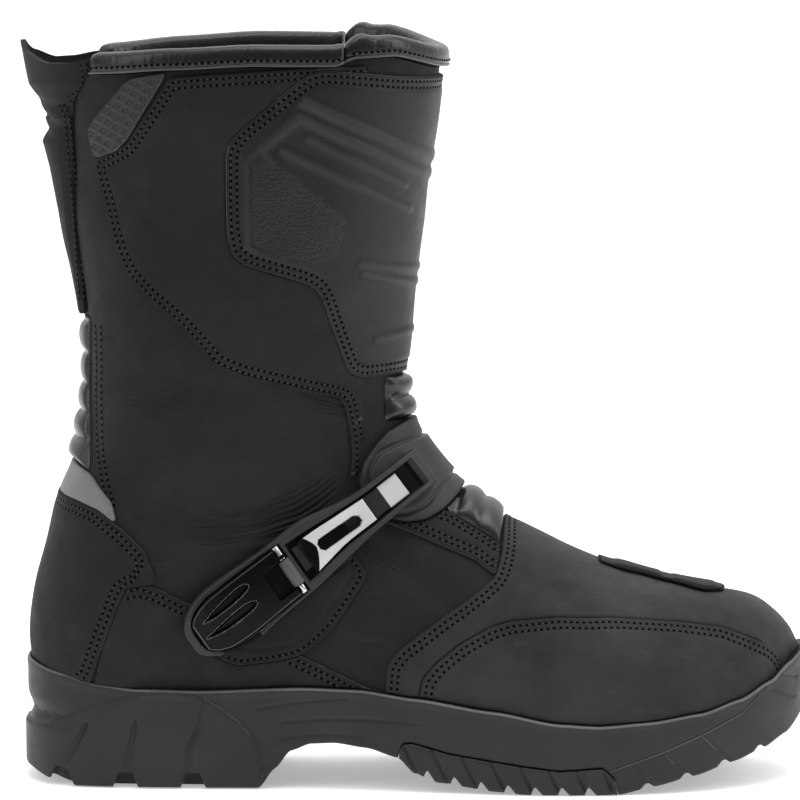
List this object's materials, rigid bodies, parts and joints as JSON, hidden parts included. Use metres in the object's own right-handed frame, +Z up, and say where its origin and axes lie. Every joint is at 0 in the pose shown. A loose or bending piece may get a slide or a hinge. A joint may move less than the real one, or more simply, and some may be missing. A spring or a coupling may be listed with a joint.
{
  "type": "motorcycle boot",
  "caption": "Right motorcycle touring boot: lugged rubber cup sole, hollow leather upper with shin plate, ribbed flex panels, ankle pad and ratchet strap buckle.",
  "frame": {"origin": "centre of the bounding box, on the ground plane under the sole", "axes": "+X from heel to toe, +Z up, +Y towards the inner (medial) side of this right boot"},
  "size_m": [0.3104, 0.1098, 0.2945],
  "materials": {
    "nubuck": "matte black nubuck, slightly dusty",
    "plate_leather": "smooth embossed, satin",
    "soft_leather": "padded, semi-gloss",
    "sole_rubber": "moulded, matte",
    "moulded_rubber": "moulded, matte grey-black",
    "hard_plastic": "moulded, satin",
    "gloss_plastic": "glossy black",
    "reflective": "light grey reflective cloth",
    "foam": "cloth-covered footbed"
  },
  "bodies": {
    "root": {"outsole": "sole_rubber", "forefoot_tread": "sole_rubber", "upper": "nubuck", "insole": "foam", "shin_plate": "plate_leather", "grip_patch_lateral": "moulded_rubber", "grip_patch_medial": "moulded_rubber", "ankle_pad": "moulded_rubber", "buckle_base": "nubuck", "heel_counter": "nubuck", "reflector": "reflective", "rear_bellows": "soft_leather", "shin_bellows": "soft_leather", "instep_bellows": "soft_leather", "foot_guard_lateral": "nubuck", "foot_guard_medial": "nubuck", "vamp": "nubuck", "instep_strip_lateral": "nubuck", "instep_strip_medial": "nubuck", "quarter_lateral": "nubuck", "quarter_medial": "nubuck", "side_panel_lateral": "nubuck", "side_panel_medial": "nubuck", "toe_badge": "gloss_plastic", "collar_front": "soft_leather", "collar_roll_lateral": "soft_leather", "collar_roll_medial": "soft_leather", "rear_tab": "nubuck", "buckle_tray": "hard_plastic", "buckle_lever": "hard_plastic", "buckle_pin": "gloss_plastic", "ladder_strap": "gloss_plastic", "strap_latch": "gloss_plastic"}
  },
  "joints": []
}
